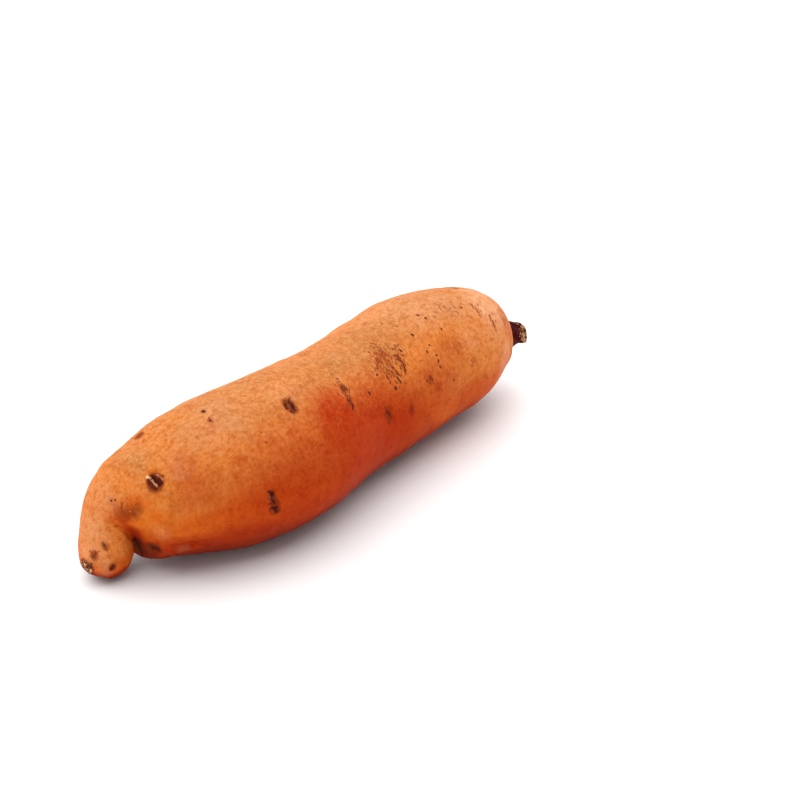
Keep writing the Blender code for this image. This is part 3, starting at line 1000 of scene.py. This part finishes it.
class SWEETPOTATO_OT_skin(bpy.types.Operator):
    """Makes the skin, with its wrinkles, root scars, crease and vine stub, in place of the plain solid"""

    bl_idname = "sweetpotato.skin"
    bl_label = "Skin"

    # How far noise bends a line's edge, as a share of its reach.
    WANDER = 0.22
    # A root scar's raised lip reaches so many times as far as its hollow. The lip, the floor and the floor's
    # raggedness are shares of the scar's depth.
    LIP_REACH = 1.7
    LIP_HEIGHT, PIT_FLOOR, PIT_RAGGED = 0.22, 0.75, 0.35
    # Raggedness of the brown places.
    SCAR_RELIEF = 0.08 * MM
    # Height of the finer swellings and wrinkles against the broad ones, and how much of both bark takes away.
    FINER, BARK_CALM = 0.5, 0.8
    # Height of a ridge against a furrow's depth, and of ragged bark and torn tissue against the stub's ridges.
    RIDGE_HEIGHT, BARK_RAGGED, TORN_RAGGED = 0.4, 0.35, 0.9
    # Painted shade lies in the crease, in the scars' brown, this strongly.
    CREASE_SHADE = 0.85
    # Both ends get more painted light, as if they faced up by so much more. That starts at a place along the
    # root and is full after a run, in millimetres. The crown's own share brings no place above the last
    # number.
    CROWN_LIFT, CROWN_START, CROWN_RUN, CROWN_MOST = 0.26, 22, 30, 0.7
    TIP_LIFT, TIP_START, TIP_RUN = 0.12, 74, 14
    DRIFT_LIGHT = 0.1
    # The stub, in millimetres: how far bark lies past its radius and back from its end, how far torn tissue
    # lies inside its radius and back from its end, and half the width of the pale rim between them.
    BARK_RING, BARK_RUN = 3.2, 7.2
    TORN_RING, TORN_RUN = 0.5, 2.2
    RIM = 0.42
    # Waves of the bark's grooves round the stub, and how much they shift with each millimetre along it.
    GROOVE_TURN, GROOVE_RUN = 2.6, 0.12

    def execute(self, context):
        settings = context.scene.sweet_potato_skin
        mesh = fine_copy(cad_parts[NODE])
        points = coordinates(mesh)
        normals = coordinates(mesh, "normal")
        tree = tree_of(mesh)
        ragged = swell(points, *RAGGED)
        stub = self.stub_marks(points, normals)
        bark, torn = stub["bark"], stub["torn"]
        pits = marked(points, PITS, tree)
        wider = [(*mark[:3], mark[3] * self.LIP_REACH, mark[4] * self.LIP_REACH, mark[5]) for mark in PITS]
        lips = smooth(marked(points, wider, tree) * 1.5)
        browns_and_shade = marked(points, BROWN_AND_SHADE, tree, adding=True)
        furrows = lined(points, FURROWS, tree, ragged * self.WANDER)
        ridges = lined(points, RIDGES, tree, ragged * self.WANDER)
        folds = lined(points, FOLDS, tree)
        crease = lined(points, CREASE, tree)

        calm = smooth(swell(points, *CALM) * 1.4 + 0.6)
        height = settings.swelling * swell(points, *SWELLING)
        height += self.FINER * settings.swelling * swell(points, *SMALL_SWELLING)
        height += settings.wrinkle * calm * swell(points, *WRINKLE)
        height += self.FINER * settings.wrinkle * calm * swell(points, *FINE_WRINKLE)
        height *= 1 - self.BARK_CALM * bark
        floor = self.PIT_FLOOR + self.PIT_RAGGED * ragged
        height += settings.pit_depth * (self.LIP_HEIGHT * lips * (1 - pits) - pits * floor)
        height += self.SCAR_RELIEF * browns_and_shade * ragged
        height -= settings.furrow_depth * furrows
        height += self.RIDGE_HEIGHT * settings.furrow_depth * ridges
        height -= MM * (folds + crease)
        height += settings.stub_ridge * bark * (1 - torn) * stub["grooves"]
        height += settings.stub_ridge * (self.BARK_RAGGED * bark + self.TORN_RAGGED * torn) * ragged
        points = points + normals * height[:, None]
        points[:, 2] = np.maximum(points[:, 2], 0.0)
        mesh.vertices.foreach_set("co", points.ravel())
        mesh.update()

        keep_marks(
            mesh,
            {
                # Painted light and shade, by how far the skin faces up.
                "lift": self.lift(points, normals),
                # The brown mark also holds the painted shade of the crease.
                "brown": np.maximum(browns_and_shade, crease * self.CREASE_SHADE),
                "furrow": furrows,
                "ridge": ridges,
                "gold": marked(points, GOLD, tree),
                # Partly painted shade.
                "flush": marked(points, FLUSH_AND_SHADE, tree),
                # Mostly a painted highlight.
                "pale": marked(points, PALE_AND_LIT, tree),
                "cream": marked(points, CREAM, tree),
                "bark": bark,
                "torn": torn,
                "rim": stub["rim"],
            },
        )
        skin = finished("skin", mesh, skin_finish(settings))
        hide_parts(NODE)
        return {"FINISHED"}

    def lift(self, points, normals):
        """How far each place faces up, for the skin's painted light and shade; both ends get more painted
        light.
        """
        along = points[:, 0] / MM
        facing = normals[:, 2]
        crown = self.CROWN_LIFT * past(along, self.CROWN_START, self.CROWN_RUN)
        tip = self.TIP_LIFT * past(-along, self.TIP_START, self.TIP_RUN) * past(facing, 0, 0.6)
        paler = np.maximum(facing, np.minimum(facing + crown, self.CROWN_MOST)) + tip
        return paler + self.DRIFT_LIGHT * swell(points, *DRIFT)

    def stub_marks(self, points, normals):
        """Where the stub's bark, its grooves, its torn end and the rim between them lie."""
        way = np.array(STUB_WAY)
        out = points - stub_middle(points)
        along = out @ way / MM
        across = out / MM - np.outer(along, way)
        radius = np.linalg.norm(across, axis=1)
        inner = np.maximum(radius, np.linalg.norm(across - np.array(TORN_SHIFT), axis=1))
        facing = normals @ way
        near = within(radius, STUB_RADIUS + self.BARK_RING, 1.6)
        edge = STUB_RADIUS - self.TORN_RING
        torn = within(inner, edge, 0.5) * past(facing, 0.45, 0.25) * past(along, -self.TORN_RUN, 0.8)
        turned = across / np.maximum(radius, 0.2)[:, None] * self.GROOVE_TURN
        return {
            "bark": near * past(along, -self.BARK_RUN, 1.8),
            "torn": torn,
            "rim": near * smooth(1.1 - abs(inner - edge) / self.RIM) * past(facing, 0.3, 0.3),
            "grooves": swell(turned + np.outer(along * self.GROOVE_RUN, way), *GROOVES),
        }


class SWEETPOTATO_OT_flecks(bpy.types.Operator):
    """Makes the corky flecks, singly, in clusters and strewn over the whole root"""

    bl_idname = "sweetpotato.flecks"
    bl_label = "Flecks"

    # The least and the most: lengths and widths in millimetres, then how dark.
    CLUSTER_LENGTH, CLUSTER_WIDTH, CLUSTER_DARK = (0.8, 2.3), (0.32, 0.6), (0.7, 1.25)
    STRAY_LENGTH, STRAY_WIDTH, STRAY_DARK = (0.4, 1.1), (0.25, 0.45), (0.05, 0.5)
    # A fleck's outline has this many corners. From its edge inwards, each of its rings has a share of its size
    # and a share of its height.
    SPOKES = 9
    DOME = ((1.0, -0.35), (0.72, 0.6), (0.36, 1.0))

    def execute(self, context):
        settings = context.scene.sweet_potato_flecks
        surface = skin_surface()
        tree = tree_of(surface)
        rng = random.Random(SEED)
        shell, tone = toned_shell()

        def add(place, size, width, dark):
            self.fleck(shell, tone, rng, tree, place, size * MM, width * MM, dark, settings.height)

        for x, y, z, size, width, dark in FLECKS:
            add(Vector((x, y, z)) * MM, size, width, dark)
        for x, y, z, along, around, count, dark in CLUSTERS:
            middle = tree.find_nearest(Vector((x, y, z)) * MM)[0]
            lengthwise, crosswise = self.directions(tree, middle)
            for _ in range(count):
                place = middle + lengthwise * rng.gauss(0, along * 0.5) * MM
                place += crosswise * rng.gauss(0, around * 0.5) * MM
                size, width = rng.uniform(*self.CLUSTER_LENGTH), rng.uniform(*self.CLUSTER_WIDTH)
                add(place, size, width, min(1.0, dark * rng.uniform(*self.CLUSTER_DARK)))
        corners = coordinates(surface)
        for _ in range(settings.strays):
            place = Vector(corners[rng.randrange(len(corners))])
            size, width = rng.uniform(*self.STRAY_LENGTH), rng.uniform(*self.STRAY_WIDTH)
            add(place, size, width, rng.uniform(*self.STRAY_DARK))
        finished("flecks", shell, fleck_finish(settings))
        return {"FINISHED"}

    @staticmethod
    def directions(tree, place):
        """Along the root and round it, on the skin at a place."""
        normal = tree.find_nearest(place)[1]
        lengthwise = (Vector((1, 0, 0)) - normal * normal.x).normalized()
        return lengthwise, normal.cross(lengthwise)

    def fleck(self, shell, layer, rng, tree, place, size, width, dark, height):
        """One low dome that follows the skin, longer round the root than along it."""
        middle = tree.find_nearest(place)[0]
        lengthwise, crosswise = self.directions(tree, middle)
        slant = rng.gauss(0, 0.25)
        long_way = crosswise * math.cos(slant) + lengthwise * math.sin(slant)
        short_way = lengthwise * math.cos(slant) - crosswise * math.sin(slant)
        ragged = [rng.uniform(0.75, 1.2) for _ in range(self.SPOKES)]
        rings = []
        for share, rise in self.DOME:
            ring = []
            for spoke in range(self.SPOKES):
                angle = 2 * math.pi * spoke / self.SPOKES
                out = long_way * (math.cos(angle) * size / 2) + short_way * (math.sin(angle) * width / 2)
                near, normal, _, _ = tree.find_nearest(middle + out * share * ragged[spoke])
                vert = shell.verts.new(near + normal * height * rise)
                vert[layer] = dark
                ring.append(vert)
            rings.append(ring)
        for ring, inner in zip(rings, rings[1:]):
            for spoke in range(self.SPOKES):
                beyond = (spoke + 1) % self.SPOKES
                shell.faces.new((ring[spoke], ring[beyond], inner[beyond], inner[spoke]))
        shell.faces.new(rings[-1])
        under = [shell.verts.new(v.co) for v in rings[0]]
        shell.faces.new(list(reversed(under)))
        for vert in under:
            vert[layer] = dark


class SWEETPOTATO_OT_stub_fibres(bpy.types.Operator):
    """Makes the torn fibres on the vine stub's end"""

    bl_idname = "sweetpotato.stub_fibres"
    bl_label = "Vine stub fibres"

    # In millimetres: how far inside the stub's edge the fibres stand, and how deep their feet are sunk.
    EDGE = 1.1
    FOOT = 1.4

    def execute(self, context):
        settings = context.scene.sweet_potato_fibres
        end = Vector(stub_middle(coordinates(skin_surface())))
        rng = random.Random(SEED + 1)
        shell, tone = toned_shell()
        for _ in range(settings.stub_fibres):
            out = any_side(STUB_WAY, rng)
            reach = rng.uniform(0.45, 1.0) * (STUB_RADIUS - self.EDGE) * MM
            foot = end + out * reach - STUB_WAY * self.FOOT * MM
            lean = (STUB_WAY + out * rng.uniform(-0.1, 0.35)).normalized()
            size = settings.longest * rng.uniform(0.6, 0.95)
            fibre(shell, tone, rng, foot, lean, size, settings.thickest * rng.uniform(0.5, 1.0))
        finished("stub_fibres", shell, fibre_finish(settings))
        return {"FINISHED"}


class SWEETPOTATO_OT_tip_fibres(bpy.types.Operator):
    """Makes the short fibres on the root tip's scar and the broken rootlets in the root scars"""

    bl_idname = "sweetpotato.tip_fibres"
    bl_label = "Root tip fibres"

    # The middle of the root tip's scar in metres. Then, in millimetres, the least and the most that fibres
    # stand from it, and how deep the feet of fibres and of rootlets are sunk.
    TIP = Vector((-104.2, 12.4, 6.8)) * MM
    REACH = (0.2, 2.6)
    FOOT, ROOTLET_FOOT = 0.35, 0.5
    # Broken rootlets: X, Y and Z of the foot in millimetres, the way it leans, and its length in millimetres.
    ROOTLETS = (
        ((-84.6, -1.4, 39.0), (-0.4, -0.2, 0.4), 1.3),
        ((-22, 27, 27), (0.4, 0.7, 0.4), 2.6),
        ((52, 25, 22), (-0.4, 0.8, 0.3), 2.2),
        ((-62, 22, 42), (0.3, 0.5, 0.8), 2.0),
    )
    # How thick a rootlet is against the thickest fibre.
    ROOTLET_THICK = 1.6

    def execute(self, context):
        settings = context.scene.sweet_potato_fibres
        tree = tree_of(skin_surface())
        rng = random.Random(SEED + 2)
        shell, tone = toned_shell()
        middle, normal, _, _ = tree.find_nearest(self.TIP)
        for _ in range(settings.tip_fibres):
            out = any_side(normal, rng)
            near, steep, _, _ = tree.find_nearest(middle + out * rng.uniform(*self.REACH) * MM)
            lean = (steep + out * rng.uniform(0.3, 1.3)).normalized()
            size = settings.longest * rng.uniform(0.25, 0.6)
            foot = near - steep * self.FOOT * MM
            fibre(shell, tone, rng, foot, lean, size, settings.thickest * rng.uniform(0.5, 0.9))
        for place, lean, size in self.ROOTLETS:
            near, steep, _, _ = tree.find_nearest(Vector(place) * MM)
            foot = near - steep * self.ROOTLET_FOOT * MM
            thickness = settings.thickest * self.ROOTLET_THICK
            fibre(shell, tone, rng, foot, Vector(lean).normalized(), size * MM, thickness, sway=0.2)
        for vert in shell.verts:
            vert.co.z = max(vert.co.z, 0.0)
        finished("tip_fibres", shell, fibre_finish(settings))
        return {"FINISHED"}


class SWEETPOTATO_OT_stage(bpy.types.Operator):
    """Makes the pale floor, the soft lights and the camera"""

    bl_idname = "sweetpotato.stage"
    bl_label = "Stage"

    # The camera's sensor in millimetres. The rest is in metres: the sides of the square floor and lights, and
    # where the lights hang.
    SENSOR = 36.0
    FLOOR = 8.0
    KEY, BESIDE = 6.0, 1.4
    KEY_PLACE = (0.2, 0.8, 2.2)
    LEFT_PLACE = (-2.0, -0.3, 1.1)
    RIGHT_PLACE = (2.0, -0.5, 1.1)

    def execute(self, context):
        settings = context.scene.sweet_potato_stage
        scene = context.scene
        bpy.ops.mesh.primitive_plane_add(size=self.FLOOR)
        floor = context.object
        floor.name = "floor"
        floor.data.materials.append(floor_finish(settings))

        world = bpy.data.worlds.new("studio")
        world.use_nodes = True
        sky = world.node_tree.nodes["Background"]
        sky.inputs["Color"].default_value = (1.0, 1.0, 1.0, 1.0)
        sky.inputs["Strength"].default_value = settings.sky
        scene.world = world
        scene.view_settings.view_transform = "Standard"

        turn, rise = settings.azimuth, settings.elevation
        back = Vector((math.sin(turn) * math.cos(rise), -math.cos(turn) * math.cos(rise), math.sin(rise)))
        right = Vector((math.cos(turn), math.sin(turn), 0.0))
        up = back.cross(right)
        optics = bpy.data.cameras.new("camera")
        optics.lens = settings.lens
        optics.sensor_width = self.SENSOR
        optics.clip_start = 0.01
        camera = bpy.data.objects.new("camera", optics)
        scene.collection.objects.link(camera)
        seen = settings.distance * self.SENSOR / settings.lens
        aside = right * (settings.across - 0.5) * seen + up * (0.5 - settings.down) * seen
        facing = Matrix((right, up, back)).transposed().to_4x4()
        camera.matrix_world = Matrix.Translation(back * settings.distance - aside) @ facing
        scene.camera = camera

        self.lamp("key", settings.key, self.KEY, self.KEY_PLACE)
        self.lamp("left", settings.left, self.BESIDE, self.LEFT_PLACE)
        self.lamp("right", settings.right, self.BESIDE, self.RIGHT_PLACE)
        return {"FINISHED"}

    def lamp(self, name, power, side, place):
        """A square soft light that faces the root."""
        light = bpy.data.lights.new(name, "AREA")
        light.energy = power
        light.size = side
        lamp = bpy.data.objects.new(name, light)
        bpy.context.scene.collection.objects.link(lamp)
        away = Vector(place)
        facing = away.to_track_quat("Z", "Y").to_matrix().to_4x4()
        lamp.matrix_world = Matrix.Translation(away) @ facing


class SWEETPOTATO_PT_panel(bpy.types.Panel):
    """Buttons for each piece of the sweet potato."""

    bl_idname = "SWEETPOTATO_PT_panel"
    bl_label = "Sweet Potato"
    bl_space_type = "VIEW_3D"
    bl_region_type = "UI"
    bl_category = "Sweet Potato"

    def draw(self, context):
        """Lists the buttons in the order that the pieces are made in."""
        for made in OPERATORS:
            self.layout.operator(made.bl_idname)


OPERATORS = (
    SWEETPOTATO_OT_skin,
    SWEETPOTATO_OT_flecks,
    SWEETPOTATO_OT_stub_fibres,
    SWEETPOTATO_OT_tip_fibres,
    SWEETPOTATO_OT_stage,
)
SETTINGS = {
    "sweet_potato_skin": SkinSettings,
    "sweet_potato_flecks": FleckSettings,
    "sweet_potato_fibres": FibreSettings,
    "sweet_potato_stage": StageSettings,
}


def register():
    """Tells Blender about the settings, the operators and the panel."""
    for kind in (*SETTINGS.values(), *OPERATORS, SWEETPOTATO_PT_panel):
        bpy.utils.register_class(kind)
    for name, kind in SETTINGS.items():
        setattr(bpy.types.Scene, name, PointerProperty(type=kind))


def unregister():
    """Takes back what register told Blender."""
    for name in SETTINGS:
        delattr(bpy.types.Scene, name)
    for kind in reversed((*SETTINGS.values(), *OPERATORS, SWEETPOTATO_PT_panel)):
        bpy.utils.unregister_class(kind)


def main():
    """Makes every piece in order."""
    register()
    bpy.ops.sweetpotato.skin()
    bpy.ops.sweetpotato.flecks()
    bpy.ops.sweetpotato.stub_fibres()
    bpy.ops.sweetpotato.tip_fibres()
    bpy.ops.sweetpotato.stage()


if __name__ == "__main__":
    main()
